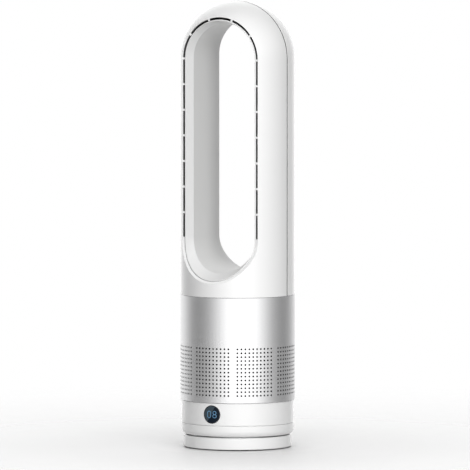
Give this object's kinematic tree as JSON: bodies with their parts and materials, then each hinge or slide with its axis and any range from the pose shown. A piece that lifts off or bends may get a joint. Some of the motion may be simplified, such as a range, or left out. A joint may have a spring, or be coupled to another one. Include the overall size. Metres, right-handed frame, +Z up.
{
  "type": "tower fan",
  "caption": "Bladeless tower fan: round swinging tower with a domed, slotted head, perforated metal air intake and round display, on a low fixed disc base.",
  "frame": {"origin": "floor under the middle of the base", "axes": "+Z up along the tower; -Y is the front, where the air outlet and the display face; +X is to the right of someone who looks at the fan's front, that is, towards +Y"},
  "size_m": [0.21, 0.21, 0.82],
  "materials": {
    "shell_white": "smooth satin-gloss white",
    "liner_white": "smooth satin white",
    "brushed_aluminium": "brushed, drilled",
    "lens_black": "glossy black",
    "bezel_black": "glossy dark rim",
    "digit_blue": "lit light guide",
    "dark_plastic": "moulded",
    "grey_plastic": "moulded",
    "acetal": "smooth",
    "screen_mesh": "woven mesh",
    "rubber": "matte",
    "steel": "bright",
    "iron": "cast",
    "brass": "machined",
    "copper": "enamelled wire",
    "board_green": "solder mask",
    "component_black": "moulded"
  },
  "bodies": {
    "base": {"base_shell": "shell_white", "base_bottom": "dark_plastic", "rubber_feet": "rubber", "base_screws": "steel", "counterweight": "iron", "cord_grommet": "rubber", "lower_race": "steel", "retaining_ring": "steel", "sun_gear": "acetal"},
    "ball_cage": {"thrust_balls": "steel", "ball_cage": "acetal"},
    "tower": {"turntable": "dark_plastic", "upper_race": "steel", "skirt_ring": "shell_white", "skirt_screws": "steel", "motor_bracket": "dark_plastic", "oscillation_motor": "steel", "motor_screws": "steel", "electronics_tray": "dark_plastic", "power_board": "board_green", "power_components": "component_black", "display_board": "board_green", "display_bezel": "bezel_black", "display_lens": "lens_black", "display_digits": "digit_blue", "control_housing": "shell_white", "chamber_floor": "dark_plastic", "intake_frame": "dark_plastic", "frame_screws": "steel", "intake_band": "brushed_aluminium", "dust_screen": "screen_mesh", "inlet_bellmouth": "grey_plastic", "blower_housing": "grey_plastic", "vibration_mounts": "rubber", "duct_seal": "rubber", "diffuser": "grey_plastic", "diffuser_cap": "grey_plastic", "bearing_tube": "brass", "motor_bearings": "steel", "motor_stator": "steel", "motor_windings": "copper", "head_collar": "dark_plastic", "collar_screws": "steel", "front_shell": "shell_white", "rear_shell": "shell_white", "shell_gasket": "rubber", "slot_liner": "liner_white", "nozzle_ring": "liner_white"},
    "pinion": {"drive_pinion": "acetal"},
    "impeller": {"impeller": "grey_plastic", "motor_shaft": "steel", "impeller_nut": "steel", "motor_rotor": "steel"}
  },
  "joints": [
    {"name": "tower_swing", "type": "hinge", "parent": "base", "child": "tower", "pos_m": [0, 0, 0.0248], "axis": [0, 0, 1], "range_deg": [-40, 40]},
    {"name": "cage_roll", "type": "hinge", "parent": "base", "child": "ball_cage", "pos_m": [0, 0, 0.0248], "axis": [0, 0, 1], "range_deg": [-20, 20]},
    {"name": "pinion_spin", "type": "hinge", "parent": "tower", "child": "pinion", "pos_m": [0, 0.0375, 0.039], "axis": [0, 0, 1], "range_deg": [-160, 160]},
    {"name": "impeller_spin", "type": "hinge", "parent": "tower", "child": "impeller", "pos_m": [0, 0, 0.225], "axis": [0, 0, 1], "continuous": true}
  ],
  "couplings": [
    {"joint": "cage_roll", "follows": "tower_swing", "ratio": 0.5},
    {"joint": "pinion_spin", "follows": "tower_swing", "ratio": 4}
  ]
}
